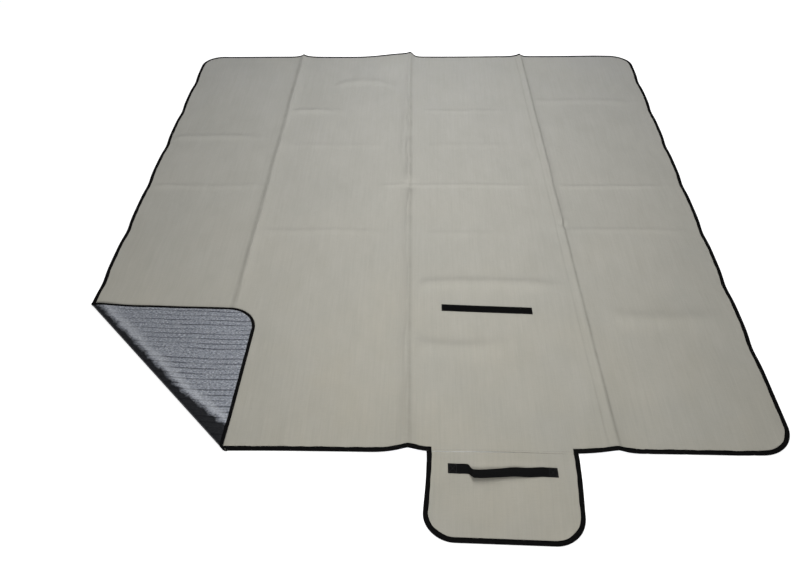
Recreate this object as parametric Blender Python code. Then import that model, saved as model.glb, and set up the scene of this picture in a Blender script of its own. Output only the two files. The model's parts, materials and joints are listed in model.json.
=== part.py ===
"""Camp blanket: a bound foam mat with a foil back, lying open with its near left corner turned over.

The mat is three layers: a woven face, a foam core and a foil back, with a tape folded over their edges.
A flap with a carrying handle is sewn to the near edge. The mat folds up along its lengthwise creases,
so each panel between two folds is a body of its own, and its layers are separate solids.
Metres, +Z up, +Y towards the far edge. The origin is under the middle of the whole length.
"""

import math

import bmesh
import bpy
from mathutils import Matrix, Vector

# Mat
MAT_WIDTH = 1.80
MAT_LENGTH = 2.00
MAT_CORNER_RADIUS = 0.082
CENTRE_CREASE_X = -0.010
RIGHT_CREASE_X = 0.470

# Layers, from the ground up, and the tape that binds their edges
FOIL_THICKNESS = 0.0004
FOAM_THICKNESS = 0.0019
FABRIC_THICKNESS = 0.0004
TAPE_THICKNESS = 0.0004
TAPE_WIDTH = 0.011
GAP = 0.0003

# Near left corner, turned over: how far the fold starts from the corner along each edge
TURN_ALONG_LEFT_EDGE = 0.485
TURN_ALONG_NEAR_EDGE = 0.471

# Flap on the near edge
FLAP_WIDTH = 0.350
FLAP_LENGTH = 0.226
FLAP_CORNER_RADIUS = 0.070
FLAP_CENTRE_X = 0.218

# Handle webbing, sewn to the flap at both ends, with a kink of slack
STRAP_WIDTH = 0.025
STRAP_THICKNESS = 0.0014
HANDLE_LENGTH = 0.248
HANDLE_SEWN_END = 0.022
HANDLE_CENTRE_X = 0.215
HANDLE_FROM_SEAM = 0.047
KINK_FROM_LEFT_END = 0.062
KINK_HEIGHT = 0.011
KINK_FORWARD = 0.018
HANDLE_STATIONS = 28

# Hook and loop strips
STRIP_WIDTH = 0.025
STRIP_THICKNESS = 0.0014
LOOP_STRIP_LENGTH = 0.250
LOOP_STRIP_CENTRE_X = 0.210
LOOP_STRIP_FROM_NEAR_EDGE = 0.470
HOOK_STRIP_LENGTH = 0.250
HOOK_STRIP_FROM_SEAM = 0.155

# Room kept inside the folds
FOLD_CLEARANCE = 0.0035
STACK_CLEARANCE = 0.0010

ARC_STEPS = 10

# Heights of the layers, and of what is sewn on them
FOIL_TOP = FOIL_THICKNESS
FOAM_BOTTOM = FOIL_TOP + GAP
FOAM_TOP = FOAM_BOTTOM + FOAM_THICKNESS
FABRIC_BOTTOM = FOAM_TOP + GAP
MAT_TOP = FABRIC_BOTTOM + FABRIC_THICKNESS
SEWN_BOTTOM = MAT_TOP + GAP
LOOP_STRIP_TOP = SEWN_BOTTOM + STRIP_THICKNESS
HANDLE_TOP = SEWN_BOTTOM + STRAP_THICKNESS + KINK_HEIGHT

# Plan positions
BACK_Y = (MAT_LENGTH + FLAP_LENGTH) / 2
NEAR_Y = BACK_Y - MAT_LENGTH
FLAP_END_Y = NEAR_Y - FLAP_LENGTH
RIGHT_X = MAT_WIDTH / 2
LEFT_X = -MAT_WIDTH / 2
FLAP_LEFT_X = FLAP_CENTRE_X - FLAP_WIDTH / 2
FLAP_RIGHT_X = FLAP_CENTRE_X + FLAP_WIDTH / 2
HALF_GAP = GAP / 2
SKIN_INSET = TAPE_WIDTH + GAP
FOAM_INSET = TAPE_THICKNESS + GAP

# Fold line of the turned corner: its ends on the two edges, and the unit normal into the mat
TURN_P = Vector((LEFT_X, NEAR_Y + TURN_ALONG_LEFT_EDGE))
TURN_Q = Vector((LEFT_X + TURN_ALONG_NEAR_EDGE, NEAR_Y))
TURN_NORMAL = Vector((TURN_ALONG_LEFT_EDGE, TURN_ALONG_NEAR_EDGE)).normalized()
TURN_SLOPE = TURN_ALONG_LEFT_EDGE / TURN_ALONG_NEAR_EDGE

# Hinge heights: each folded panel lies clear above what is already folded over the panel below it
RIGHT_FOLD_Z = (LOOP_STRIP_TOP + FOLD_CLEARANCE + MAT_TOP) / 2
FLAP_FOLD_Z = (2 * RIGHT_FOLD_Z + STACK_CLEARANCE + HANDLE_TOP) / 2
CENTRE_FOLD_Z = (2 * FLAP_FOLD_Z + STACK_CLEARANCE + MAT_TOP) / 2
CORNER_FOLD_Z = (MAT_TOP + GAP + MAT_TOP) / 2

HANDLE_BACK_Y = NEAR_Y - HANDLE_FROM_SEAM + STRAP_WIDTH / 2


def clear_scene():
    """Remove every object, so that the file starts empty."""
    for thing in list(bpy.data.objects):
        bpy.data.objects.remove(thing, do_unlink=True)


def finish(name, colour, roughness, metallic=0.0):
    """A Principled material."""
    made = bpy.data.materials.new(name)
    made.use_nodes = True
    shader = made.node_tree.nodes["Principled BSDF"]
    shader.inputs["Base Color"].default_value = (*colour, 1.0)
    shader.inputs["Roughness"].default_value = roughness
    shader.inputs["Metallic"].default_value = metallic
    return made


def body_empty(name, location, along, turned=0.0):
    """An empty on a hinge axis: local X runs along the axis, and turned is how far the body is folded."""
    empty = bpy.data.objects.new(name, None)
    bpy.context.scene.collection.objects.link(empty)
    facing = Vector(along).normalized().to_track_quat("X", "Z").to_matrix().to_4x4()
    unfolded = Matrix.Translation(Vector(location)) @ facing
    empty.matrix_world = unfolded @ Matrix.Rotation(turned, 4, "X")
    return empty, unfolded.inverted()


def place(name, mesh, look, body):
    """Link a mesh as one named piece, parented to its body's empty when it moves."""
    piece = bpy.data.objects.new(name, mesh)
    bpy.context.scene.collection.objects.link(piece)
    look_of_its_own = look.copy()
    look_of_its_own.name = name
    mesh.materials.append(look_of_its_own)
    if body is not None:
        piece.parent = body[0]
        piece.matrix_parent_inverse = body[1]
    return piece


def plate(name, outline, bottom, top, look, body):
    """A flat layer: the outline, counter-clockwise, extruded from bottom to top."""
    shape = bmesh.new()
    corners = [shape.verts.new((x, y, bottom)) for x, y in outline]
    face = shape.faces.new(corners)
    raised = bmesh.ops.extrude_face_region(shape, geom=[face])
    upper = [v for v in raised["geom"] if isinstance(v, bmesh.types.BMVert)]
    bmesh.ops.translate(shape, verts=upper, vec=(0.0, 0.0, top - bottom))
    bmesh.ops.recalc_face_normals(shape, faces=shape.faces)
    mesh = bpy.data.meshes.new(name)
    shape.to_mesh(mesh)
    shape.free()
    return place(name, mesh, look, body)


def arc(centre, radius, first, last):
    """Points and outward directions of an arc, from one angle to another, in degrees."""
    made = []
    for step in range(ARC_STEPS + 1):
        angle = math.radians(first + (last - first) * step / ARC_STEPS)
        out = Vector((math.cos(angle), math.sin(angle)))
        made.append((Vector(centre) + out * radius, out))
    return made


def mat_outline(inset):
    """The mat's rounded rectangle, drawn in by inset, counter-clockwise."""
    radius = MAT_CORNER_RADIUS - inset
    right = RIGHT_X - MAT_CORNER_RADIUS
    left = LEFT_X + MAT_CORNER_RADIUS
    back = BACK_Y - MAT_CORNER_RADIUS
    near = NEAR_Y + MAT_CORNER_RADIUS
    corners = [((right, back), 0), ((left, back), 90), ((left, near), 180), ((right, near), 270)]
    return [p for centre, start in corners for p, _ in arc(centre, radius, start, start + 90)]


def clip(outline, normal, offset):
    """The part of a convex outline where normal . point is at least offset."""
    kept = []
    for here, after in zip(outline, outline[1:] + outline[:1]):
        inside = here.dot(normal) - offset
        inside_after = after.dot(normal) - offset
        if inside >= 0:
            kept.append(here)
        if inside * inside_after < 0:
            kept.append(here.lerp(after, inside / (inside - inside_after)))
    return kept


def root_outline(inset):
    """The panel between the centre and right creases, with a tab as wide as the flap at the seam."""
    left = CENTRE_CREASE_X + HALF_GAP
    right = RIGHT_CREASE_X - HALF_GAP
    back = BACK_Y - inset
    near = NEAR_Y + inset
    seam = NEAR_Y + HALF_GAP
    tab_left = FLAP_LEFT_X + HALF_GAP
    tab_right = FLAP_RIGHT_X - HALF_GAP
    return [
        (left, back),
        (left, near),
        (tab_left, near),
        (tab_left, seam),
        (tab_right, seam),
        (tab_right, near),
        (right, near),
        (right, back),
    ]


def right_outline(inset):
    """The panel outside the right crease."""
    return clip(mat_outline(inset), Vector((1, 0)), RIGHT_CREASE_X + HALF_GAP)


def left_outline(inset):
    """Everything left of the centre crease, less the turned corner."""
    half = clip(mat_outline(inset), Vector((-1, 0)), -(CENTRE_CREASE_X - HALF_GAP))
    return clip(half, TURN_NORMAL, TURN_P.dot(TURN_NORMAL) + HALF_GAP)


def corner_outline(inset):
    """The corner beyond the fold line, as it lies when the mat is flat."""
    return clip(mat_outline(inset), -TURN_NORMAL, -TURN_P.dot(TURN_NORMAL) + HALF_GAP)


def flap_outline(inset):
    """The flap: square at the seam, round at its two free corners."""
    radius = FLAP_CORNER_RADIUS - inset
    low = FLAP_END_Y + FLAP_CORNER_RADIUS
    left = FLAP_LEFT_X + FLAP_CORNER_RADIUS
    right = FLAP_RIGHT_X - FLAP_CORNER_RADIUS
    seam = NEAR_Y - HALF_GAP
    outline = [Vector((FLAP_RIGHT_X - inset, seam)), Vector((FLAP_LEFT_X + inset, seam))]
    outline += [p for p, _ in arc((left, low), radius, 180, 270)]
    outline += [p for p, _ in arc((right, low), radius, 270, 360)]
    return outline


def layers(prefix, outline_at, looks, body):
    """Foil, foam and fabric of one panel. The foam's edge sits inside the folded tape."""
    fabric, foam, foil = looks
    plate(prefix + "_foil", outline_at(SKIN_INSET), 0.0, FOIL_TOP, foil, body)
    core = plate(prefix + "_foam", outline_at(FOAM_INSET), FOAM_BOTTOM, FOAM_TOP, foam, body)
    plate(prefix + "_fabric", outline_at(SKIN_INSET), FABRIC_BOTTOM, MAT_TOP, fabric, body)
    return core


def tape(name, run, look, body, first_slant=0.0, last_slant=0.0):
    """Edge tape folded over the layers: a C section carried along a run of (point, outward) stations.

    A slant shifts an end of the tape along the run by that much for each unit of inset, for a slanted cut.
    """
    fold = TAPE_THICKNESS
    section = [
        (0.0, 0.0),
        (TAPE_WIDTH, 0.0),
        (TAPE_WIDTH, fold),
        (fold, fold),
        (fold, MAT_TOP - fold),
        (TAPE_WIDTH, MAT_TOP - fold),
        (TAPE_WIDTH, MAT_TOP),
        (0.0, MAT_TOP),
    ]
    shape = bmesh.new()
    rings = []
    for index, (point, out) in enumerate(run):
        slant = Vector((0, 0))
        if index == 0:
            slant = (run[1][0] - point).normalized() * first_slant
        if index == len(run) - 1:
            slant = (point - run[index - 1][0]).normalized() * last_slant
        ring = []
        for inset, height in section:
            spot = point - out * inset + slant * inset
            ring.append(shape.verts.new((spot.x, spot.y, height)))
        rings.append(ring)
    for ring, following in zip(rings, rings[1:]):
        for k in range(len(section)):
            after = (k + 1) % len(section)
            shape.faces.new((ring[k], ring[after], following[after], following[k]))
    shape.faces.new(rings[0])
    shape.faces.new(reversed(rings[-1]))
    bmesh.ops.recalc_face_normals(shape, faces=shape.faces)
    mesh = bpy.data.meshes.new(name)
    shape.to_mesh(mesh)
    shape.free()
    return place(name, mesh, look, body)


def station(x, y, out):
    """One stop of a tape run."""
    return Vector((x, y)), Vector(out)


def mat_tapes(look, bodies):
    """The tape round the mat, cut where the panels fold, at the turned corner and at the flap."""
    back, near = (0, 1), (0, -1)
    left, right = (-1, 0), (1, 0)
    high = BACK_Y - MAT_CORNER_RADIUS
    low = NEAR_Y + MAT_CORNER_RADIUS
    left_centre = LEFT_X + MAT_CORNER_RADIUS
    right_centre = RIGHT_X - MAT_CORNER_RADIUS
    radius = MAT_CORNER_RADIUS

    inner_left = CENTRE_CREASE_X + HALF_GAP
    inner_right = RIGHT_CREASE_X - HALF_GAP
    run = [station(inner_left, BACK_Y, back), station(inner_right, BACK_Y, back)]
    tape("right_inner_back_tape", run, look, None)
    run = [station(inner_left, NEAR_Y, near), station(FLAP_LEFT_X - HALF_GAP, NEAR_Y, near)]
    tape("near_tape_left_of_flap", run, look, None)
    run = [station(FLAP_RIGHT_X + HALF_GAP, NEAR_Y, near), station(inner_right, NEAR_Y, near)]
    tape("near_tape_right_of_flap", run, look, None)

    outer = RIGHT_CREASE_X + HALF_GAP
    run = [station(outer, BACK_Y, back)]
    run += arc((right_centre, high), radius, 90, 0)
    run += arc((right_centre, low), radius, 0, -90)
    run += [station(outer, NEAR_Y, near)]
    tape("right_outer_tape", run, look, bodies["right_outer"])

    # Where the fold line, moved aside by half the gap, crosses the left and near edges
    aside_left = HALF_GAP / TURN_NORMAL.y
    aside_near = HALF_GAP / TURN_NORMAL.x
    run = [station(CENTRE_CREASE_X - HALF_GAP, BACK_Y, back)]
    run += arc((left_centre, high), radius, 90, 180)
    run += [station(LEFT_X, TURN_P.y + aside_left, left)]
    tape("left_side_tape", run, look, bodies["left_half"], last_slant=TURN_SLOPE)
    run = [station(TURN_Q.x + aside_near, NEAR_Y, near)]
    run += [station(CENTRE_CREASE_X - HALF_GAP, NEAR_Y, near)]
    tape("left_near_tape", run, look, bodies["left_half"], first_slant=-1 / TURN_SLOPE)

    run = [station(LEFT_X, TURN_P.y - aside_left, left)]
    run += arc((left_centre, low), radius, 180, 270)
    run += [station(TURN_Q.x - aside_near, NEAR_Y, near)]
    slants = (TURN_SLOPE, -1 / TURN_SLOPE)
    tape("corner_tape", run, look, bodies["turned_corner"], slants[0], slants[1])


def flap_tape(look, body):
    """The tape round the flap's three free sides."""
    low = FLAP_END_Y + FLAP_CORNER_RADIUS
    seam = NEAR_Y - HALF_GAP
    run = [station(FLAP_LEFT_X, seam, (-1, 0))]
    run += arc((FLAP_LEFT_X + FLAP_CORNER_RADIUS, low), FLAP_CORNER_RADIUS, 180, 270)
    run += arc((FLAP_RIGHT_X - FLAP_CORNER_RADIUS, low), FLAP_CORNER_RADIUS, 270, 360)
    run += [station(FLAP_RIGHT_X, seam, (1, 0))]
    tape("flap_tape", run, look, body)


def box_outline(centre_x, centre_y, length, width):
    """A rectangle's four corners, counter-clockwise."""
    right, left = centre_x + length / 2, centre_x - length / 2
    high, low = centre_y + width / 2, centre_y - width / 2
    return [(right, high), (left, high), (left, low), (right, low)]


def smooth(t):
    """0 to 1 with level ends."""
    t = min(max(t, 0.0), 1.0)
    return t * t * (3 - 2 * t)


def handle(look, flap, swing):
    """The webbing handle: two ends sewn flat on the flap, and the free strap with its kink between them."""
    end_x = HANDLE_LENGTH / 2 - HANDLE_SEWN_END / 2
    centre_y = NEAR_Y - HANDLE_FROM_SEAM
    sewn_top = SEWN_BOTTOM + STRAP_THICKNESS
    for side, sign in (("left", -1), ("right", 1)):
        outline = box_outline(HANDLE_CENTRE_X + sign * end_x, centre_y, HANDLE_SEWN_END, STRAP_WIDTH)
        plate("handle_end_" + side, outline, SEWN_BOTTOM, sewn_top, look, flap)

    first = HANDLE_CENTRE_X - HANDLE_LENGTH / 2 + HANDLE_SEWN_END + GAP
    last = HANDLE_CENTRE_X + HANDLE_LENGTH / 2 - HANDLE_SEWN_END - GAP
    kink = HANDLE_CENTRE_X - HANDLE_LENGTH / 2 + KINK_FROM_LEFT_END
    shape = bmesh.new()
    rings = []
    for step in range(HANDLE_STATIONS + 1):
        x = first + (last - first) * step / HANDLE_STATIONS
        rise = smooth((x - first) / (kink - first))
        settle = smooth((last - x) / (last - kink))
        forward = KINK_FORWARD * min(rise, settle)
        up = KINK_HEIGHT * min(rise, settle**3)
        back, front = HANDLE_BACK_Y - forward, HANDLE_BACK_Y - forward - STRAP_WIDTH
        bottom, top = SEWN_BOTTOM + up, SEWN_BOTTOM + up + STRAP_THICKNESS
        section = [(back, bottom), (front, bottom), (front, top), (back, top)]
        rings.append([shape.verts.new((x, y, z)) for y, z in section])
    for ring, following in zip(rings, rings[1:]):
        for k in range(4):
            after = (k + 1) % 4
            shape.faces.new((ring[k], ring[after], following[after], following[k]))
    shape.faces.new(rings[0])
    shape.faces.new(reversed(rings[-1]))
    bmesh.ops.recalc_face_normals(shape, faces=shape.faces)
    mesh = bpy.data.meshes.new("handle_strap")
    shape.to_mesh(mesh)
    shape.free()
    place("handle_strap", mesh, look, swing)


def hook_strip(look, skins, body):
    """The hook strip under the flap, sewn through so that it lies flush: a pocket takes it up."""
    centre_y = NEAR_Y - HOOK_STRIP_FROM_SEAM
    outline = box_outline(FLAP_CENTRE_X, centre_y, HOOK_STRIP_LENGTH, STRIP_WIDTH)
    plate("hook_strip", outline, 0.0, STRIP_THICKNESS, look, body)
    length, width = HOOK_STRIP_LENGTH + 2 * GAP, STRIP_WIDTH + 2 * GAP
    outline = box_outline(FLAP_CENTRE_X, centre_y, length, width)
    cutter = plate("hook_pocket", outline, -GAP, STRIP_THICKNESS + GAP, look, body)
    cutter.hide_render = True
    cutter.display_type = "WIRE"
    for skin in skins:
        cut = skin.modifiers.new("hook_pocket", "BOOLEAN")
        cut.operation = "DIFFERENCE"
        cut.solver = "EXACT"
        cut.object = cutter


def build():
    """Make every piece of the blanket."""
    clear_scene()
    fabric = finish("woven_face", (0.42, 0.41, 0.36), 0.9)
    foam = finish("foam_core", (0.80, 0.80, 0.78), 0.85)
    foil = finish("foil_back", (0.55, 0.57, 0.62), 0.3, 1.0)
    webbing = finish("webbing", (0.012, 0.012, 0.013), 0.8)
    looks = (fabric, foam, foil)

    middle_y = (BACK_Y + NEAR_Y) / 2
    turn_middle = (TURN_P + TURN_Q) / 2
    turn_along = (TURN_Q - TURN_P).to_3d()
    seam_middle = (FLAP_CENTRE_X, NEAR_Y, FLAP_FOLD_Z)
    bodies = {
        "right_outer": body_empty("right_fold", (RIGHT_CREASE_X, middle_y, RIGHT_FOLD_Z), (0, -1, 0)),
        "left_half": body_empty("centre_fold", (CENTRE_CREASE_X, middle_y, CENTRE_FOLD_Z), (0, 1, 0)),
        "turned_corner": body_empty(
            "corner_turn", (turn_middle.x, turn_middle.y, CORNER_FOLD_Z), turn_along, math.pi
        ),
        "flap": body_empty("flap_fold", seam_middle, (-1, 0, 0)),
        "handle": body_empty("handle_swing", (HANDLE_CENTRE_X, HANDLE_BACK_Y, SEWN_BOTTOM), (1, 0, 0)),
    }

    layers("right_inner", root_outline, looks, None)
    layers("right_outer", right_outline, looks, bodies["right_outer"])
    layers("left_half", left_outline, looks, bodies["left_half"])
    layers("corner", corner_outline, looks, bodies["turned_corner"])
    flap_core = layers("flap", flap_outline, looks, bodies["flap"])

    mat_tapes(webbing, bodies)
    flap_tape(webbing, bodies["flap"])
    hook_strip(webbing, (flap_core, bpy.data.objects["flap_foil"]), bodies["flap"])
    handle(webbing, bodies["flap"], bodies["handle"])

    strip_y = NEAR_Y + LOOP_STRIP_FROM_NEAR_EDGE
    outline = box_outline(LOOP_STRIP_CENTRE_X, strip_y, LOOP_STRIP_LENGTH, STRIP_WIDTH)
    plate("loop_strip", outline, SEWN_BOTTOM, LOOP_STRIP_TOP, webbing, None)


build()
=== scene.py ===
"""Camp blanket lying open: a bound mat of foil, foam and woven face, with a turned-over corner and a flap."""

import json
import math

import bpy
import numpy as np
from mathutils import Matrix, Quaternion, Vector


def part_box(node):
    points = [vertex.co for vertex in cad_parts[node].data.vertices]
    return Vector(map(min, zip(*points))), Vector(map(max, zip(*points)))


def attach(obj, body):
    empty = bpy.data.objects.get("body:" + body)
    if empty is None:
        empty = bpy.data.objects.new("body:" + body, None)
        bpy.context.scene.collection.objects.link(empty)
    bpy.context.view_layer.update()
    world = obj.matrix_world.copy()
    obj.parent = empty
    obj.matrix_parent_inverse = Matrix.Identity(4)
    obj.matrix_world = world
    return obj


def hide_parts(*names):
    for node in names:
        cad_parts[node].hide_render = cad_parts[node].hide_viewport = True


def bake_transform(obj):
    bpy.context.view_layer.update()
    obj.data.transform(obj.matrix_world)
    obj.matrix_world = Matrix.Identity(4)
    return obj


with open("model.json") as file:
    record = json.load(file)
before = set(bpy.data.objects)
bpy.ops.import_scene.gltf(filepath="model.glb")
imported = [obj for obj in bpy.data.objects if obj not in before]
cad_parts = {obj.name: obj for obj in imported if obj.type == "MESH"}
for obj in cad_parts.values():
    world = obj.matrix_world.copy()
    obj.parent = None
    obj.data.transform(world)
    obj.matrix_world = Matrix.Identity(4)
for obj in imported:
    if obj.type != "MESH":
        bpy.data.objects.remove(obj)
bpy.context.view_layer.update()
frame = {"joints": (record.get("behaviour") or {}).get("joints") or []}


# ------------------------------------------------------------------------------
# Foil back of the mat: metallised film, embossed in rows, that faces the ground. It is glued with the foam
# and the cloth into one laminate about 3 mm thick, which keeps the creases it was packed in. One sheet on the
# real mat, made here in two that meet by the right crease, because each half bends at one fold.
# ------------------------------------------------------------------------------

joints = {j["name"]: j for j in frame["joints"]}
left_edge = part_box("left_side_tape")[0].x
right_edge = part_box("right_outer_tape")[1].x
far_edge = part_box("right_inner_back_tape")[1].y
near_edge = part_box("near_tape_left_of_flap")[0].y
mat_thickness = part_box("right_inner_fabric")[1].z
half_thick = mat_thickness / 2
mat_length = far_edge - near_edge
mat_corner = 0.082
flap_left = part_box("flap_tape")[0].x
flap_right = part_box("flap_tape")[1].x
flap_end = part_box("flap_tape")[0].y
centre_hinge = joints["centre_fold"]["pos_m"][0]
right_hinge = joints["right_fold"]["pos_m"][0]

# The turned corner's fold line: a point on it, its direction, and the level normal into the mat
turn_along = np.array(joints["corner_turn"]["axis"][:2])
turn_inward = np.array([-turn_along[1], turn_along[0]])
turn_point = np.array(joints["corner_turn"]["pos_m"][:2])
roll_radius = 0.0045
roll_outermost = (math.pi / 2 - 1) * roll_radius
roll_top = (math.pi - 1) * roll_radius
layer_gap = 0.0005


def ease(t):
    """0 to 1 with level ends: 3 t squared less 2 t cubed, held at 0 and 1 outside."""
    t = np.clip(t, 0.0, 1.0)
    return t * t * (3 - 2 * t)


def peak(distance, left_foot, right_foot):
    """A pressed crease in section: 1 at its line, falling as exp(-(distance / foot) to the 1.4)."""
    foot = np.where(distance < 0, left_foot, right_foot)
    return np.exp(-((np.abs(distance) / foot) ** 1.4))


def beyond_fold(x, y):
    """How far a flat point lies beyond the fold line, towards the corner that is turned over."""
    return -((x - turn_point[0]) * turn_inward[0] + (y - turn_point[1]) * turn_inward[1])


def wander(t, size, seed):
    """A slow irregular drift along a crease: three sine waves whose lengths don't repeat together."""
    quick = 0.6 * np.sin(31.7 * t + 2.3 * seed)
    quickest = 0.4 * np.sin(57.3 * t + 4.1 * seed)
    return size * (np.sin(13.1 * t + seed) + quick + quickest)


def long_creases(x, t):
    """Ridges along the mat: a height that varies with the distance t from the near edge, times peak().

    Each has a sharp pinched crest on its soft body, and a pressed valley at the foot of its steep side.
    """
    centre_off = x - (centre_hinge + 0.0055 - 0.011 * t) - wander(t, 0.0022, 0.5)
    left_off = x - (-0.492 + 0.0075 * t) - wander(t, 0.0012, 2.0)
    right_off = x - (right_hinge + 0.016 - 0.0235 * t) - wander(t, 0.0010, 4.0)
    centre = np.interp(
        t,
        [0, 0.10, 0.30, 0.80, 1.00, 1.055, 1.11, 1.20, 1.30, 1.36, 1.45, 1.60, 1.70, 1.80, 2.0],
        [
            0.0185, 0.012, 0.009, 0.009, 0.013, 0.003, 0.015, 0.013,
            0.014, 0.007, 0.013, 0.012, 0.008, 0.011, 0.006,
        ],
    )
    left = np.interp(
        t,
        [0, 0.35, 0.55, 0.80, 1.055, 1.3, 1.36, 1.54, 1.8, 2.0],
        [0.001, 0.002, 0.005, 0.009, 0.006, 0.009, 0.005, 0.010, 0.010, 0.011],
    )
    right = np.interp(
        t,
        [0, 0.06, 0.30, 0.80, 0.83, 1.06, 1.09, 1.6, 2.0],
        [0.014, 0.008, 0.005, 0.005, 0.013, 0.010, 0.014, 0.011, 0.012],
    )
    wide = 1 + 0.7 * (1 - ease(t / 0.14))
    pinch = ease(t / 0.16)
    soft = (1 - 0.25 * pinch) * peak(centre_off, 0.020 * wide, 0.020 * wide)
    made = centre * (soft + 0.25 * pinch * peak(centre_off, 0.006, 0.006))
    soft = (1 - 0.30 * pinch) * peak(left_off, 0.020, 0.024)
    made += left * (soft + 0.30 * pinch * peak(left_off, 0.005, 0.006))
    soft = (1 - 0.30 * pinch) * peak(right_off, 0.026 * wide, 0.015 * wide)
    made += right * (soft + 0.30 * pinch * peak(right_off, 0.006, 0.004))
    twin = np.interp(t, [0.8, 0.86, 1.9, 2.0], [0.0, 0.0022, 0.0026, 0.0])
    made += twin * peak(right_off + 0.021, 0.006, 0.005)
    twin = np.interp(t, [1.2, 1.25, 1.62, 1.68], [0.0, 0.0030, 0.0030, 0.0])
    made += twin * peak(centre_off + 0.019, 0.007, 0.005)
    dimples = ((centre_off - 0.006, t - 1.055, 0.011), (right_off - 0.004, t - 0.838, 0.009))
    for off, along, depth in dimples:
        made = made - depth * np.exp(-((off / 0.011) ** 2) - (along / 0.016) ** 2)
    tent_side = np.where(centre_off < 0, ease((x + 0.275) / 0.265) ** 1.3, 0.0)
    tent_drop = np.where(centre_off >= 0, np.exp(-((np.abs(centre_off) / 0.015) ** 1.5)), 0.0)
    return np.maximum(made + 0.0152 * ease((t - 1.78) / 0.2) * (tent_side + tent_drop), 0.0)


def cross_creases(x, t):
    """Fainter creases across the mat: each a Gaussian ridge in t, bent along x and faded at its ends.

    The far side of each is the steeper, at 0.7 of its near side's width.
    """
    ridges = [
        (0.568, 0.010, 0.480, 0.0075, 0.026, 0.010),
        (0.345, 0.005, 0.300, 0.0070, 0.030, -0.020),
        (1.540, -0.475, -0.230, 0.0058, 0.020, 0.004),
        (1.740, -0.330, -0.030, 0.0050, 0.026, 0.040),
        (1.055, -0.120, 0.460, 0.0030, 0.010, 0.004),
        (1.055, 0.470, 0.890, 0.0030, 0.010, -0.004),
        (0.818, 0.470, 0.890, 0.0024, 0.011, 0.004),
        (1.355, -0.890, -0.490, 0.0044, 0.018, 0.006),
        (1.300, -0.460, -0.030, 0.0022, 0.014, 0.004),
        (1.055, -0.890, -0.420, 0.0028, 0.012, -0.004),
        (0.809, -0.480, -0.020, 0.0024, 0.014, 0.006),
        (0.800, 0.030, 0.330, 0.0020, 0.014, 0.006),
        (0.445, 0.540, 0.895, 0.0060, 0.036, -0.012),
        (1.610, 0.440, 0.890, 0.0034, 0.018, 0.010),
        (1.300, 0.040, 0.420, 0.0022, 0.014, 0.006),
        (1.545, 0.020, 0.400, 0.0022, 0.013, -0.004),
    ]
    made = np.zeros_like(x + t)
    for at, first, last, height, width, bow in ridges:
        share = (x - first) / (last - first)
        off = t - at - bow * np.sin(math.pi * share * 1.2) - wander(x * 2, 0.0014, at * 9)
        held = ease((x - first) / 0.04) * ease((last - x) / 0.16)
        made = made + height * held * np.exp(-((off / np.where(off > 0, 0.7 * width, width)) ** 2))
    return made


def faint_lines(x, t):
    """Hairline folds along the mat, under a millimetre high, each drifting slightly as t grows."""
    lines = [(0.552, 0.02, 0.55, 0.0009), (0.640, -0.01, 0.30, 0.0007), (0.795, 0.00, 0.22, 0.0009)]
    lines += [(-0.640, 0.02, 1.10, 0.0008), (-0.735, -0.01, 0.95, 0.0007), (0.300, 0.01, 0.6, 0.0005)]
    made = np.zeros_like(x + t)
    for at, drift, until, height in lines:
        held = ease((until - t) / 0.2 + 0.5)
        made = made + height * held * np.exp(-(((x - at - drift * t) / 0.0045) ** 2))
    return made


def slow_waves(x, t):
    """The foam's own unevenness: a sum of five long sine waves, kept above the ground."""
    made = np.zeros_like(x + t)
    for across, along, phase, height in (
        (9.0, 4.0, 0.4, 0.0005),
        (-6.0, 11.0, 2.1, 0.0005),
        (15.0, -7.0, 4.4, 0.0004),
        (4.0, 21.0, 1.3, 0.0004),
        (-22.0, 13.0, 5.2, 0.0003),
    ):
        made = made + height * np.sin(across * x + along * t + phase)
    return np.maximum(made, -0.0003) + 0.0003


def lift(x, y):
    """How high the laminate stands off the ground at a flat point, pressed level under the turned corner.

    The corner covers the points whose mirror image in the fold line lies on the mat's own outline.
    """
    t = y - near_edge
    made = long_creases(x, t) + cross_creases(x, t) + faint_lines(x, t) + slow_waves(x, t)
    past = beyond_fold(x, y)
    covered = inside_mat(x + 2 * past * turn_inward[0], y + 2 * past * turn_inward[1])
    return made * ease(-covered / 0.045) * ease((-past - roll_radius) / 0.045)


def edge_wander(x, y):
    """Small sideways drift of the cloth: the edges nip in at each cross crease and bow out between."""
    t = y - near_edge
    nip = sum(np.exp(-(((t - at) / 0.045) ** 2)) for at in (0.33, 0.568, 0.812, 1.06, 1.30, 1.54, 1.77))
    inward = 0.0045 * nip * np.abs(x / right_edge) ** 3 * np.sign(x)
    sag = 0.0022 * np.sin(7.5 * x + 0.6) * (np.abs(2 * t / mat_length - 1) ** 4)
    return x - inward, y + np.where(t > mat_length / 2, -np.abs(sag), np.abs(sag))


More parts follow.
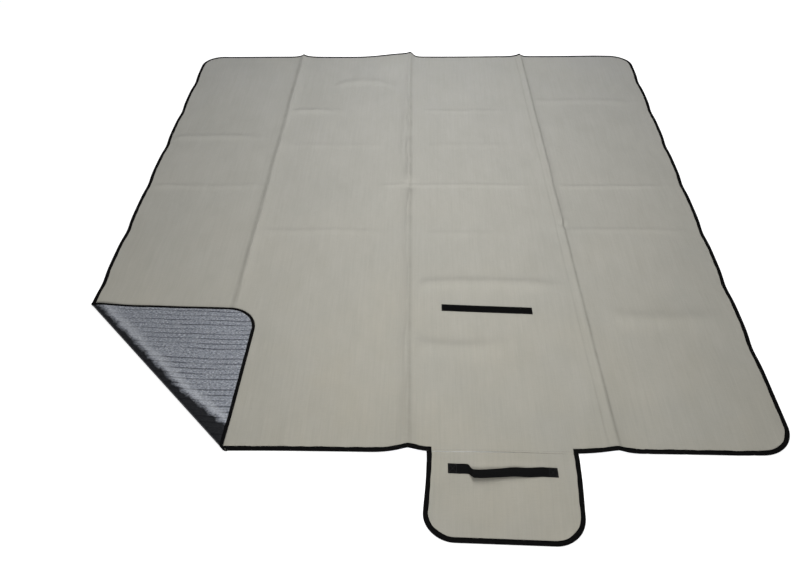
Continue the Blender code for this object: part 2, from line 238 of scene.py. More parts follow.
def middle_surface(x, y):
    """The laminate's middle for flat coordinates: lifted off the ground, and rolled over past the fold.

    Beyond the fold the sheet runs half round a cylinder lying on the fold line, then back over the mat,
    sinking from the roll's height until it rests on the layer below.
    """
    past = beyond_fold(x, y)
    moved_x, moved_y = edge_wander(x, y)
    along = (x - turn_point[0]) * turn_along[0] + (y - turn_point[1]) * turn_along[1]
    angle = np.clip((past + roll_radius) / roll_radius, 0.0, math.pi)
    over = np.maximum(past - roll_top, 0.0)
    inward = roll_radius - roll_radius * np.sin(angle) + over * 0.995
    landed_x = turn_point[0] + turn_along[0] * along + turn_inward[0] * inward
    landed_y = turn_point[1] + turn_along[1] * along + turn_inward[1] * inward
    puff = 0.0003 * (1 + np.sin(38 * landed_x - 9 * landed_y)) * ease(over / 0.05)
    resting = mat_thickness + layer_gap + puff
    sink = np.exp(-((over / 0.045) ** 2)) * (1 + 0.25 * np.sin(along * 17.0 + 1.0) * ease(over / 0.02))
    height = np.where(
        over > 0,
        resting + (2 * roll_radius - resting) * sink,
        roll_radius * (1 - np.cos(angle)),
    )
    rolled = past > -roll_radius
    px = np.where(rolled, landed_x, moved_x)
    py = np.where(rolled, landed_y, moved_y)
    pz = np.where(rolled, height, lift(x, y)) + half_thick
    return np.stack([px, py, pz], -1)


def inside_edge(x, y, middle, half_size, radius):
    """How far a flat point lies inside a rounded rectangle: its radius less the distance from its core."""
    over_x = np.abs(x - middle[0]) - (half_size[0] - radius)
    over_y = np.abs(y - middle[1]) - (half_size[1] - radius)
    outside = np.hypot(np.maximum(over_x, 0), np.maximum(over_y, 0))
    return radius - outside - np.minimum(np.maximum(over_x, over_y), 0)


def pinched(up, inside):
    """A height up from the middle, pressed down towards the foil where the sewn tape squeezes the foam."""
    squeeze = 0.0006 * (1 - ease((inside - 0.003) / 0.011))
    return up - squeeze * (up + half_thick) / mat_thickness


def laid_on(surface, x, y, up):
    """A point held up along a surface's normal, found from the cross product of its two slopes."""
    step = 0.0004
    across = surface(x + step, y) - surface(x - step, y)
    along = surface(x, y + step) - surface(x, y - step)
    normal = np.cross(across, along)
    normal /= np.linalg.norm(normal, axis=-1, keepdims=True)
    return surface(x, y) + normal * np.asarray(up)[..., None]


def inside_mat(x, y):
    """How far a flat point lies inside the mat's outline."""
    return inside_edge(x, y, (0.0, (near_edge + far_edge) / 2), (right_edge, mat_length / 2), mat_corner)


def on_mat(x, y, up):
    """A point on the mat for flat coordinates and a height up from the laminate's middle."""
    inside = inside_mat(x, y)
    open_seam = ease((x - flap_left) / 0.02) * ease((flap_right - x) / 0.02) * (y < near_edge + 0.05)
    return laid_on(middle_surface, x, y, pinched(up, np.maximum(inside, open_seam)))


foil_thickness = 0.00035
foil_top = -half_thick + foil_thickness
sheet_inset = 0.0012
part_line = right_hinge - 0.046
centre_bend = ((centre_hinge + 0.004, 0, 0), (centre_hinge - 0.034, 0, 0))
right_bend = ((right_hinge + 0.030, 0, 0), (right_hinge - 0.004, 0, 0))


def spaced(low, high, coarse, fine, marks, reach):
    """Coordinates from low to high, closer together near each mark.

    The spacing's inverse is 1 / coarse, rising to 1 / fine as a Gaussian of that reach round a mark; its
    running sum is inverted to place the points.
    """
    s = np.linspace(low, high, 4001)
    near = np.zeros_like(s)
    for mark in marks:
        near = np.maximum(near, np.exp(-(((s - mark) / reach) ** 2)))
    density = 1 / coarse + (1 / fine - 1 / coarse) * near
    count = np.concatenate([[0.0], np.cumsum((density[1:] + density[:-1]) / 2 * np.diff(s))])
    return np.interp(np.linspace(0, count[-1], int(round(count[-1])) + 1), count, s)


def grid_mesh(name, points, flat):
    """A mesh of quads over a grid of points (rows, columns, 3), with a UV map of its flat coordinates."""
    rows, columns = points.shape[:2]
    index = np.arange(rows * columns, dtype=np.int32).reshape(rows, columns)
    quads = np.stack([index[:-1, :-1], index[:-1, 1:], index[1:, 1:], index[1:, :-1]], -1).reshape(-1, 4)
    mesh = bpy.data.meshes.new(name)
    mesh.vertices.add(rows * columns)
    mesh.vertices.foreach_set("co", points.astype(np.float32).ravel())
    mesh.loops.add(quads.size)
    mesh.loops.foreach_set("vertex_index", quads.ravel())
    mesh.polygons.add(len(quads))
    mesh.polygons.foreach_set("loop_start", np.arange(0, quads.size, 4, dtype=np.int32))
    mesh.polygons.foreach_set("use_smooth", np.ones(len(quads), bool))
    mesh.update(calc_edges=True)
    ends = np.empty(len(mesh.edges) * 2, dtype=np.int32)
    mesh.edges.foreach_get("vertices", ends)
    row, column = np.divmod(ends.reshape(-1, 2), columns)
    on_row = (row[:, 0] == row[:, 1]) & ((row[:, 0] == 0) | (row[:, 0] == rows - 1))
    on_column = (column[:, 0] == column[:, 1]) & ((column[:, 0] == 0) | (column[:, 0] == columns - 1))
    mesh.edges.foreach_set("use_edge_sharp", on_row | on_column)
    cut = mesh.uv_layers.new(name="flat")
    cut.data.foreach_set("uv", flat.reshape(-1, 2)[quads.ravel()].astype(np.float32).ravel())
    return mesh


def piece(name, mesh, material, thickness=0.0):
    """Link a mesh as a piece of that material, with a wall of that thickness grown under its face."""
    made = bpy.data.objects.new(name, mesh)
    bpy.context.scene.collection.objects.link(made)
    mesh.materials.append(material)
    if thickness:
        wall = made.modifiers.new("wall", "SOLIDIFY")
        wall.thickness = thickness
        wall.offset = -1.0
    return made


def corner_rise(x, inset):
    """How far a rounded corner draws the near or far edge in at x: radius less a circle's height."""
    radius = mat_corner - inset
    side = np.maximum(np.abs(x) - (right_edge - mat_corner), 0.0)
    return radius - np.sqrt(np.maximum(radius**2 - side**2, 0.0))


def panel_grid(first, last, inset, coarse=0.0095):
    """Flat coordinates of the mat between two values of x, cut to its outline and to the turned corner."""
    marks = [right_hinge, centre_hinge - 0.005, -0.487]
    x = spaced(first, last, coarse, 0.0028, marks, 0.024)
    ends = [edge for edge in (first, last) if abs(edge) > right_edge - 0.01]
    spans = [sorted((e, e - np.sign(e) * 0.05)) for e in ends]
    close = [spaced(*span, 0.004, 0.0007, [e], 0.010) for span, e in zip(spans, ends)]
    x = np.unique(np.concatenate([x, *close]))
    rise = corner_rise(x, inset)
    low = near_edge + np.where((x > flap_left) & (x < flap_right), 0.0, inset) + np.where(x > 0, rise, 0.0)
    fold = turn_point[1] - ((x - turn_point[0]) * turn_inward[0] + roll_outermost) / turn_inward[1]
    low = np.maximum(low, fold)
    high = far_edge - inset - rise
    pressed = [at / mat_length for at in (0.345, 0.568, 0.83, 1.055, 1.355, 1.54, 1.74)]
    share = spaced(0.0, 1.0, 0.0062, 0.0030, pressed, 0.012)
    near_fold = spaced(0.0, 0.03, 0.0050, 0.0008, [0.0], 0.010)
    share = np.unique(np.concatenate([near_fold, share[share > 0.032], [1.0 - 0.0012]]))
    y = low[None, :] + (high - low)[None, :] * share[:, None]
    return np.broadcast_to(x[None, :], y.shape), y


class Nodes:
    """A short way to build a material: add() makes a node with its settings, and join() links sockets."""

    def __init__(self, name):
        self.material = bpy.data.materials.new(name)
        self.material.use_nodes = True
        self.tree = self.material.node_tree
        self.shader = self.tree.nodes["Principled BSDF"]

    def add(self, kind, inputs=(), **settings):
        """One node, its properties from settings and its sockets from (name, value or output) pairs."""
        node = self.tree.nodes.new("ShaderNode" + kind)
        for key, value in settings.items():
            setattr(node, key, value)
        for key, value in inputs:
            self.join(node.inputs[key], value)
        return node

    def join(self, socket, value):
        """Link an output to a socket, or set the socket to a plain value."""
        if isinstance(value, bpy.types.NodeSocket):
            self.tree.links.new(value, socket)
        else:
            socket.default_value = value

    def flat(self, scale=(1, 1, 1), turn=0.0):
        """The piece's own flat coordinates in metres, scaled and turned."""
        place = self.add("UVMap", uv_map="flat").outputs[0]
        settings = [("Vector", place), ("Scale", scale), ("Rotation", (0, 0, turn))]
        return self.add("Mapping", settings).outputs[0]

    def noise(self, vector, scale, detail=2.0, roughness=0.5):
        """Soft noise, from 0 to 1."""
        settings = [("Vector", vector), ("Scale", scale), ("Detail", detail), ("Roughness", roughness)]
        return self.add("TexNoise", settings).outputs["Fac"]

    def ramp(self, value, low, high, to_low=0.0, to_high=1.0):
        """A value carried from one range to another, held at its ends."""
        settings = [("Value", value), ("From Min", low), ("From Max", high)]
        settings += [("To Min", to_low), ("To Max", to_high)]
        return self.add("MapRange", settings, clamp=True).outputs[0]

    def maths(self, operation, one, two=0.0):
        """One sum on two values."""
        return self.add("Math", [(0, one), (1, two)], operation=operation).outputs[0]

    def mix(self, share, one, two, blend="MIX"):
        """Two colours mixed by a share."""
        made = self.add("Mix", data_type="RGBA", blend_type=blend)
        self.join(made.inputs["Factor"], share)
        self.join(made.inputs["A"], one)
        self.join(made.inputs["B"], two)
        return made.outputs["Result"]

    def finish(self, colour, roughness, bumps, **sockets):
        """Set the shader: colour, roughness, bumps as (height, distance) over each other, and sockets."""
        self.join(self.shader.inputs["Base Color"], colour)
        self.join(self.shader.inputs["Roughness"], roughness)
        under = None
        for height, distance in bumps:
            made = self.add("Bump", [("Height", height), ("Distance", distance), ("Strength", 1.0)])
            if under is not None:
                self.join(made.inputs["Normal"], under)
            under = made.outputs[0]
        if under is not None:
            self.join(self.shader.inputs["Normal"], under)
        for key, value in sockets.items():
            self.join(self.shader.inputs[key.replace("_", " ")], value)
        return self.material


def embossed_foil():
    """Silver film: embossed lines across the width every 17 mm with finer rows between, and crinkles.

    It has painted shade along the turned corner's roll, a dark band that widens towards the near edge,
    with a brighter strip of painted highlight beside it.
    """
    made = Nodes("embossed_foil")
    flat = made.flat()
    split = made.add("SeparateXYZ", [("Vector", flat)])
    drift = made.noise(flat, 7.0, 3.0)
    row = made.maths("ADD", split.outputs["X"], made.maths("MULTIPLY", drift, 0.011))
    wave = made.maths("ABSOLUTE", made.maths("SINE", made.maths("MULTIPLY", row, math.pi / 0.0172)))
    groove = made.ramp(wave, 0.0, 0.46, 1.0, 0.0)
    fine = made.maths("ABSOLUTE", made.maths("SINE", made.maths("MULTIPLY", row, math.pi / 0.0057)))
    fine = made.ramp(fine, 0.0, 0.6, 1.0, 0.0)
    speckle = made.noise(made.flat((1.0, 0.42, 1.0)), 330.0, 3.0, 0.65)
    glint = made.noise(made.flat((1.0, 0.30, 1.0)), 520.0, 2.0, 0.6)
    crinkle = made.noise(flat, 45.0, 4.0, 0.6)
    broken = made.noise(made.flat((1.0, 0.16, 1.0)), 50.0, 2.0)
    from_edge = made.ramp(split.outputs["Y"], near_edge + 0.22, near_edge + 0.46, 1.0, 0.25)
    groove = made.maths("MULTIPLY", groove, made.maths("MULTIPLY", made.ramp(broken, 0.34, 0.54), from_edge))
    tone = made.mix(made.ramp(speckle, 0.34, 0.66), (0.135, 0.152, 0.195, 1), (0.86, 0.90, 0.98, 1))
    tone = made.mix(made.ramp(crinkle, 0.35, 0.70, 0.0, 0.65), tone, (0.38, 0.41, 0.48, 1))
    tone = made.mix(made.maths("MULTIPLY", fine, 0.45), tone, (0.07, 0.08, 0.11, 1))
    tone = made.mix(made.ramp(glint, 0.58, 0.66, 0.0, 0.85), tone, (0.97, 0.98, 1.0, 1))
    tone = made.mix(made.maths("MULTIPLY", groove, 0.92), tone, (0.022, 0.026, 0.042, 1))
    # Painted shade and highlight along the turned corner's roll, placed by distance past the fold line.
    offset = made.add("VectorMath", [(0, flat), (1, (*turn_point, 0))], operation="SUBTRACT").outputs[0]
    dots = [
        made.add("VectorMath", [(0, offset), (1, (*way, 0))], operation="DOT_PRODUCT").outputs["Value"]
        for way in (-turn_inward, turn_along)
    ]
    past, along = dots
    ragged = made.maths("MULTIPLY", made.ramp(crinkle, 0.3, 0.7, -1.0, 1.0), 0.005)
    first_part = made.ramp(along, -0.30, 0.12, 0.0, 0.007)
    widen = made.maths("ADD", first_part, made.ramp(along, 0.12, 0.33, 0.0, 0.026))
    beyond = made.maths("SUBTRACT", made.maths("ADD", past, ragged), widen)
    # Painted highlight: a brighter strip beside the roll.
    rising = made.ramp(beyond, 0.020, 0.031)
    painted_highlight_strip = made.maths("MULTIPLY", rising, made.ramp(beyond, 0.031, 0.052, 1.0, 0.0))
    tone = made.mix(made.maths("MULTIPLY", painted_highlight_strip, 0.45), tone, (0.90, 0.93, 0.98, 1))
    # Painted shade: a dark band on the roll, which is also made less metallic.
    falling = made.ramp(beyond, 0.012, 0.026, 0.97, 0.0)
    painted_shade_band = made.maths("MULTIPLY", falling, made.ramp(past, -0.012, -0.002))
    tone = made.mix(painted_shade_band, tone, (0.004, 0.0045, 0.006, 1))
    rough = made.ramp(speckle, 0.3, 0.7, 0.55, 0.30)
    metal = made.maths("SUBTRACT", 0.6, made.maths("MULTIPLY", painted_shade_band, 0.3))
    bumps = [(crinkle, 0.0016), (groove, -0.0006), (speckle, 0.0005)]
    return made.finish(tone, rough, bumps, Metallic=metal, Specular_IOR_Level=0.3)


def mat_layer(name, up, material, thickness, nodes):
    """One layer of the mat in its two parts, its top face at a height up from the laminate's middle."""
    halves = (("left", left_edge + sheet_inset, part_line), ("right", part_line, right_edge - sheet_inset))
    for side, first, last in halves:
        x, y = panel_grid(first, last, sheet_inset)
        mesh = grid_mesh(name, on_mat(x, y, up), np.stack([x, y], -1))
        made = piece(f"{name}_{side}", mesh, material, thickness)
        if side == "left":
            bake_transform(made)
        else:
            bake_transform(made)
        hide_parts(*nodes[side])


foil_look = embossed_foil()
mat_layer(
    "mat_foil", foil_top, foil_look, foil_thickness,
    {"left": ["left_half_foil", "right_inner_foil"], "right": ["right_outer_foil"]},
)


# ------------------------------------------------------------------------------
# Foam core of the mat: white closed-cell foam, 2 mm thick, glued between the two skins. It gives the mat
# its soft, springy creases. It is hidden except where a bench would open the edge.
# ------------------------------------------------------------------------------

foam_thickness = 0.0020
foam_top = foil_top + 0.0001 + foam_thickness


def closed_cell_foam():
    """White foam: fine cells from Voronoi noise, as a bump and a slight change of tone."""
    made = Nodes("closed_cell_foam")
    cells = made.add("TexVoronoi", [("Vector", made.flat()), ("Scale", 900.0)]).outputs["Distance"]
    colour = made.mix(made.ramp(cells, 0.1, 0.7), (0.72, 0.72, 0.69, 1), (0.86, 0.86, 0.84, 1))
    return made.finish(colour, 0.85, [(cells, 0.0003)])


foam_look = closed_cell_foam()
mat_layer(
    "mat_foam", foam_top, foam_look, foam_thickness,
    {"left": ["left_half_foam", "right_inner_foam"], "right": ["right_outer_foam"]},
)


# ------------------------------------------------------------------------------
# Woven face of the mat: a light warm-grey cloth with a fine streak along its length, glued on the foam.
# Its pressed creases show as soft darker lines of painted shade.
# ------------------------------------------------------------------------------

face_top = half_thick
face_thickness = 0.0004


def woven_cloth():
    """Grey cloth: warp threads and streaks along the length, fine weft across it, and slow changes of tone.

    Each pressed crease has a darker line of painted shade, at x = a + b t for a distance t from the near
    edge.
    """
    made = Nodes("woven_cloth")
    warp = made.noise(made.flat((1.0, 0.012, 1.0)), 950.0, 2.0, 0.6)
    streak = made.noise(made.flat((1.0, 0.020, 1.0)), 150.0, 3.0, 0.6)
    weft = made.noise(made.flat((0.05, 1.0, 1.0)), 800.0, 2.0, 0.6)
    cloud = made.noise(made.flat(), 3.2, 3.0, 0.55)
    patch = made.noise(made.flat((1.0, 0.6, 1.0)), 9.0, 3.0, 0.6)
    mottle = made.noise(made.flat((1.0, 0.5, 1.0)), 22.0, 3.0, 0.6)
    split = made.add("SeparateXYZ", [("Vector", made.flat())])
    across, length = split.outputs["X"], split.outputs["Y"]
    far = made.ramp(length, near_edge, far_edge)
    tone = made.mix(far, (0.425, 0.400, 0.328, 1), (0.402, 0.404, 0.394, 1))
    tone = made.mix(made.ramp(cloud, 0.3, 0.7, 0.0, 0.60), tone, (0.370, 0.368, 0.335, 1))
    tone = made.mix(made.ramp(patch, 0.35, 0.75, 0.0, 0.28), tone, (0.480, 0.470, 0.430, 1))
    tone = made.mix(made.ramp(streak, 0.35, 0.75, 0.0, 0.24), tone, (0.310, 0.302, 0.262, 1))
    tone = made.mix(made.ramp(warp, 0.35, 0.70, 0.0, 0.24), tone, (0.520, 0.505, 0.450, 1))
    tone = made.mix(made.ramp(weft, 0.45, 0.75, 0.0, 0.18), tone, (0.290, 0.283, 0.245, 1))
    tone = made.mix(made.ramp(mottle, 0.4, 0.75, 0.0, 0.14), tone, (0.300, 0.295, 0.250, 1))
    # Painted shade along the pressed creases: a darker line at each, broken up by this noise.
    crease_shade_breakup = made.noise(made.flat((0.4, 1.0, 1.0)), 14.0, 3.0, 0.6)
    for at, drift, half, strength in (
        (centre_hinge + 0.0115, -0.011, 0.009, 0.42),
        (-0.502, 0.0075, 0.010, 0.50),
        (right_hinge + 0.021, -0.0235, 0.0055, 0.66),
        (right_hinge - 0.004, -0.0235, 0.004, 0.26),
    ):
        line = made.maths("ADD", at - drift * near_edge, made.maths("MULTIPLY", length, drift))
        off = made.maths("ABSOLUTE", made.maths("SUBTRACT", across, line))
        crease_shade = made.ramp(off, 0.0, half, strength, 0.0)
        mark = made.maths("MULTIPLY", crease_shade, made.ramp(crease_shade_breakup, 0.30, 0.70, 0.35, 1.0))
        tone = made.mix(mark, tone, (0.205, 0.200, 0.172, 1))
    bumps = [(mottle, 0.0014), (streak, 0.0003), (warp, 0.00014), (weft, 0.00012)]
    return made.finish(tone, 0.92, bumps, Sheen_Weight=0.12, Sheen_Roughness=0.5, Specular_IOR_Level=0.25)


cloth_look = woven_cloth()
mat_layer(
    "mat_face", face_top, cloth_look, face_thickness,
    {"left": ["left_half_fabric", "right_inner_fabric"], "right": ["right_outer_fabric"]},
)


# ------------------------------------------------------------------------------
# The near left corner, turned over: the same three layers carried round a soft roll and laid back on the
# mat, foil side up. It is cut from the same sheets, so its pattern runs on from theirs.
# ------------------------------------------------------------------------------

roll_side = (*turn_point, half_thick + roll_radius)
laid_before, laid_after = 0.1285, 0.070
laid_bend = ((*(turn_point - laid_before * turn_inward), 0), (*(turn_point + laid_after * turn_inward), 0))
laid_share = laid_before / (laid_before + laid_after)


def roll_bend(up):
    """Start and end of the roll's bend: at its top, the layer at height up turns as the laid part does."""
    return roll_side, (*turn_point, half_thick + roll_radius + (roll_radius - up) / laid_share)


def corner_grid(inset, rolled):
    """Flat coordinates of the corner, in rows along the fold line that shorten towards the rounded tip.

    A row at a distance m past the fold ends where it meets the two straight edges, or past their
    tangent points, the circle of the rounded corner.
    """
    middle = np.array([left_edge + mat_corner, near_edge + mat_corner])
    middle_past = beyond_fold(*middle)
    middle_along = (middle - turn_point) @ turn_along
    radius = mat_corner - inset
    if rolled:
        m = np.linspace(roll_outermost, roll_top, 9)
    else:
        m = spaced(roll_top, middle_past + radius * 0.9995, 0.0042, 0.0011, [middle_past + radius], 0.016)
    chord = np.sqrt(np.maximum(radius**2 - (m - middle_past) ** 2, 0.0))
    ends = []
    for edge, axis, side in ((left_edge + inset, 0, -1), (near_edge + inset, 1, 1)):
        # along a straight edge, point = turn_point + turn_along * s - turn_inward * m has that coordinate
        straight = (edge - turn_point[axis] + turn_inward[axis] * m) / turn_along[axis]
        tangent = turn_inward[axis] * radius + middle_past
        ends.append(np.where(m < tangent, straight, middle_along + side * chord))
    share = spaced(0.0, 1.0, 0.011, 0.004, [0.0, 1.0], 0.03)
    s = ends[0][:, None] + (ends[1] - ends[0])[:, None] * share[None, :]
    x = turn_point[0] + turn_along[0] * s - turn_inward[0] * m[:, None]
    y = turn_point[1] + turn_along[1] * s - turn_inward[1] * m[:, None]
    return x[::-1], y[::-1]


def corner_layer(name, up, material, thickness, node):
    """One layer of the turned corner, in two parts that meet along the top of its roll."""
    for part, rolled, bend in (("roll", True, roll_bend(up)), ("laid", False, laid_bend)):
        x, y = corner_grid(sheet_inset, rolled)
        mesh = grid_mesh(name, on_mat(x, y, up), np.stack([x, y], -1))
        made = piece(f"{name}_{part}", mesh, material, thickness)
        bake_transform(made)
        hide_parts(node)


corner_layer("corner_foil", foil_top, foil_look, foil_thickness, "corner_foil")
corner_layer("corner_foam", foam_top, foam_look, foam_thickness, "corner_foam")
corner_layer("corner_face", face_top, cloth_look, face_thickness, "corner_fabric")


# ------------------------------------------------------------------------------
# Closing flap: a separate piece of the same laminate, with two round corners, sewn to the near edge.
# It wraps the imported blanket, and its strip grips the one on the mat.
# ------------------------------------------------------------------------------

flap_corner = 0.070
flap_turn = 0.045
flap_middle = (flap_left + flap_right) / 2
flap_bend = ((0, near_edge - 0.030, 0), (0, near_edge + 0.002, 0))


def flap_surface(x, y):
    """The flap's middle: pressed down at its seam, two slow swells, and turned a little askew as it lies."""
    out = near_edge - y
    swell = 0.0010 * (1 + np.sin(21 * x + 14 * y + 2.0)) + 0.0006 * (1 + np.sin(47 * y - 9 * x))
    from_side = np.minimum(x - flap_left, flap_right - x)
    held = ease(out / 0.03) * ease(from_side / 0.04) * ease((y - flap_end) / 0.04)
    joined = lift(x, np.full_like(y, near_edge)) * np.exp(-((out / 0.05) ** 2))
    side = 0.0015 * np.sin(out * 26.0) * np.abs((x - flap_middle) / (flap_right - flap_middle)) ** 3
    turned_x = x + side - flap_turn * out * ease(out / 0.04)
    turned_y = y - 0.6 * flap_turn * (x - flap_middle) * ease(out / 0.20)
    return np.stack([turned_x, turned_y, half_thick + swell * held + joined], -1)


def on_flap(x, y, up):
    """A point on the flap for flat coordinates and a height up from the laminate's middle."""
    half_width = (flap_right - flap_left) / 2
    reach = near_edge - flap_end
    inside = inside_edge(x, y, (flap_middle, near_edge), (half_width, reach), flap_corner)
    return laid_on(flap_surface, x, y, pinched(up, inside))


def flap_grid(inset):
    """Flat coordinates of the flap, its two free corners drawn in by a circle's height."""
    x = spaced(flap_left + inset, flap_right - inset, 0.006, 0.0010, [flap_left, flap_right], 0.012)
    radius = flap_corner - inset
    side = np.maximum(np.abs(x - flap_middle) - (flap_right - flap_middle - flap_corner), 0.0)
    rise = radius - np.sqrt(np.maximum(radius**2 - side**2, 0.0))
    low = flap_end + inset + rise
    share = spaced(0.0, 1.0, 0.026, 0.010, [1.0], 0.15)
    y = low[None, :] + (near_edge - low)[None, :] * share[:, None]
    return np.broadcast_to(x[None, :], y.shape), y


def flap_layer(name, up, material, thickness, node):
    """One layer of the flap."""
    x, y = flap_grid(sheet_inset)
    made = piece(name, grid_mesh(name, on_flap(x, y, up), np.stack([x, y], -1)), material, thickness)
    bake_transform(made)
    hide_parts(node)


flap_layer("flap_foil_sheet", foil_top, foil_look, foil_thickness, "flap_foil")
flap_layer("flap_foam_sheet", foam_top, foam_look, foam_thickness, "flap_foam")
flap_layer("flap_face", face_top, cloth_look, face_thickness, "flap_fabric")


# ------------------------------------------------------------------------------
# Edge tape: black woven binding, 22 mm wide, folded over the edge of all three layers and sewn through
# 2 mm from its inner edge. It runs round the mat, and round the flap's three free sides.
# ------------------------------------------------------------------------------

tape_width = 0.0108
tape_under = 0.0080
tape_thickness = 0.00045
tape_top = half_thick + 0.00055
tape_bottom = -half_thick


def tape_section():
    """The folded tape in section, as distances out from the edge and up: over, round and under."""
    inward = np.array([-1.0, -0.97, -0.85, -0.6, -0.35, -0.16]) * tape_width
    crown = tape_top + 0.0002 * np.sin(np.linspace(0, math.pi, 6))
    crown[0] = half_thick + 0.0001
    under = inward[::-1] * (tape_under / tape_width)
    angles = np.linspace(math.pi / 2, -math.pi / 2, 9)[1:-1]
    middle, radius = (tape_top + tape_bottom) / 2, (tape_top - tape_bottom) / 2
    out = np.concatenate([inward, -0.0014 + 0.0014 * np.cos(angles), under])
    up = np.concatenate([crown, middle + radius * np.sin(angles), np.full(6, tape_bottom)])
    return out, up


def arc_run(centre, radius, first, last):
    """Stations round a corner, as points and outward directions, from one angle to another in degrees."""
    angles = np.radians(np.linspace(first, last, 40))
    out = np.stack([np.cos(angles), np.sin(angles)], -1)
    return np.asarray(centre) + radius * out, out


def straight_run(start, end, out, fine_at=()):
    """Stations along a straight edge, closer together near each distance in fine_at."""
    start, end = np.asarray(start, float), np.asarray(end, float)
    length = np.linalg.norm(end - start)
    if len(fine_at):
        s = spaced(0.0, length, 0.0055, 0.0012, fine_at, 0.014)
    else:
        s = spaced(0.0, length, 0.0055, 0.005, [], 1.0)
    points = start + (end - start) * (s / length)[:, None]
    return points, np.broadcast_to(np.asarray(out, float), points.shape)


def ribbed_tape():
    """Black binding: ribs across the tape every 0.8 mm, and dusty high spots that show wear."""
    made = Nodes("ribbed_tape")
    flat = made.flat()
    along = made.add("SeparateXYZ", [("Vector", flat)]).outputs["X"]
    ribs = made.maths("ABSOLUTE", made.maths("SINE", made.maths("MULTIPLY", along, math.pi / 0.0008)))
    dust = made.noise(flat, 140.0, 4.0, 0.65)
    thread = made.noise(made.flat((1.0, 0.2, 1.0)), 2500.0, 2.0)
    dusty = made.ramp(dust, 0.45, 0.8, 0.0, 0.55)
    colour = made.mix(dusty, (0.0030, 0.0029, 0.0030, 1), (0.0115, 0.0112, 0.0108, 1))
    colour = made.mix(made.ramp(thread, 0.4, 0.8, 0.0, 0.4), colour, (0.0085, 0.0085, 0.0090, 1))
    return made.finish(colour, 0.88, [(ribs, 0.00012), (thread, 0.00010)], Specular_IOR_Level=0.05)


def tape_piece(name, runs, surface, slants, bend, nodes, past=(-9.0, 9.0)):
    """Tape carried along runs of stations, laid on a surface, and sheared at an end that meets the fold line.

    slants holds, for the first and last station, how far that end shifts along the run per unit of inset.
    past holds the least and greatest distance beyond the fold line that its stitches may have.
    """
    points = np.concatenate([r[0] for r in runs])
    outward = np.concatenate([r[1] for r in runs])
    kept = np.concatenate([[True], np.linalg.norm(np.diff(points, axis=0), axis=1) > 1e-6])
    points, outward = points[kept], outward[kept]
    travelled = np.concatenate([[0.0], np.cumsum(np.linalg.norm(np.diff(points, axis=0), axis=1))])
    heading = np.gradient(points, travelled, axis=0)
    heading /= np.linalg.norm(heading, axis=1, keepdims=True)
    left_to_go = travelled[-1] - travelled
    shear = slants[0] * ease((0.065 - travelled) / 0.05) + slants[1] * ease((0.065 - left_to_go) / 0.05)
    out, up = tape_section()
    wobble = 1 + 0.035 * np.sin(travelled * 61.0) + 0.03 * np.sin(travelled * 143.0 + 1.0)
    reach = out[None, :] * np.where(out < -0.004, wobble[:, None], 1.0)
    spot = points[:, None, :] + outward[:, None, :] * reach[..., None]
    spot = spot + heading[:, None, :] * (-np.minimum(reach, 0) * shear[:, None])[..., None]
    across = np.concatenate([[0.0], np.cumsum(np.hypot(np.diff(out), np.diff(up)))])
    flat = np.stack(np.broadcast_arrays(travelled[:, None], across[None, :]), -1)
    placed = surface(spot[..., 0], spot[..., 1], np.broadcast_to(up[None, :], spot.shape[:2]))
    made = piece(name, grid_mesh(name, placed[:, ::-1], flat[:, ::-1]), tape_look, tape_thickness)
    tape_runs.append((name, runs, surface, bend, past))
    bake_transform(made)
    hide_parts(*nodes)
    return made


tape_look = ribbed_tape()
tape_runs = []
inner_x = right_edge - mat_corner
inner_far = far_edge - mat_corner
inner_near = near_edge + mat_corner
left_bodies = ("root", "left_half", *centre_bend)
right_bodies = ("right_outer", "root", *right_bend)


def crossing(past):
    """Where the line a distance past the fold crosses the left edge (its y) and the near edge (its x)."""
    on_left = turn_point[1] - ((left_edge - turn_point[0]) * turn_inward[0] + past) / turn_inward[1]
    on_near = turn_point[0] - ((near_edge - turn_point[1]) * turn_inward[1] + past) / turn_inward[0]
    return on_left, on_near


fold_left, fold_near = crossing(roll_outermost)
top_left, top_near = crossing(roll_top)
left_slant = turn_inward[0] / turn_inward[1]
near_slant = turn_inward[1] / turn_inward[0]

side_run = straight_run((-right_edge, inner_far), (-right_edge, fold_left), (-1, 0), [inner_far - fold_left])
far_marks = [part_line - centre_hinge + 0.016, part_line + 0.477]
far_run = straight_run((part_line, far_edge), (-inner_x, far_edge), (0, 1), far_marks)
tape_piece(
    "tape_left_side", [far_run, arc_run((-inner_x, inner_far), mat_corner, 90, 180), side_run],
    on_mat, (0.0, left_slant), left_bodies,
    ["left_side_tape", "right_inner_back_tape"], (-9.0, roll_outermost),
)
near_marks = [0.0, centre_hinge + 0.0055 - fold_near]
near_run = straight_run((fold_near, near_edge), (flap_left + tape_width, near_edge), (0, -1), near_marks)
tape_piece(
    "tape_near_left", [near_run], on_mat, (-near_slant, 0.0), left_bodies,
    ["left_near_tape", "near_tape_left_of_flap"],
    (-9.0, roll_outermost),
)
near_marks = [right_hinge + 0.016 - flap_right + tape_width]
near_run = straight_run((flap_right - tape_width, near_edge), (inner_x, near_edge), (0, -1), near_marks)
right_far_marks = [inner_x - right_hinge + 0.030]
right_far_run = straight_run((inner_x, far_edge), (part_line, far_edge), (0, 1), right_far_marks)
tape_piece(
    "tape_right_side",
    [
        near_run,
        arc_run((inner_x, inner_near), mat_corner, -90, 0),
        straight_run((right_edge, inner_near), (right_edge, inner_far), (1, 0)),
        arc_run((inner_x, inner_far), mat_corner, 0, 90),
        right_far_run,
    ],
    on_mat, (0.0, 0.0), right_bodies, ["right_outer_tape", "near_tape_right_of_flap"],
)
roll_run = straight_run((left_edge, fold_left), (left_edge, top_left), (-1, 0), [0.0])
roll_bodies = ("turned_corner", "left_half", *roll_bend(0.0)[::-1])
roll_range = (roll_outermost, roll_top)
tape_piece("tape_roll_left", [roll_run], on_mat, (left_slant, 0.0), roll_bodies, ["corner_tape"], roll_range)
roll_run = straight_run((top_near, near_edge), (fold_near, near_edge), (0, -1), [0.0])
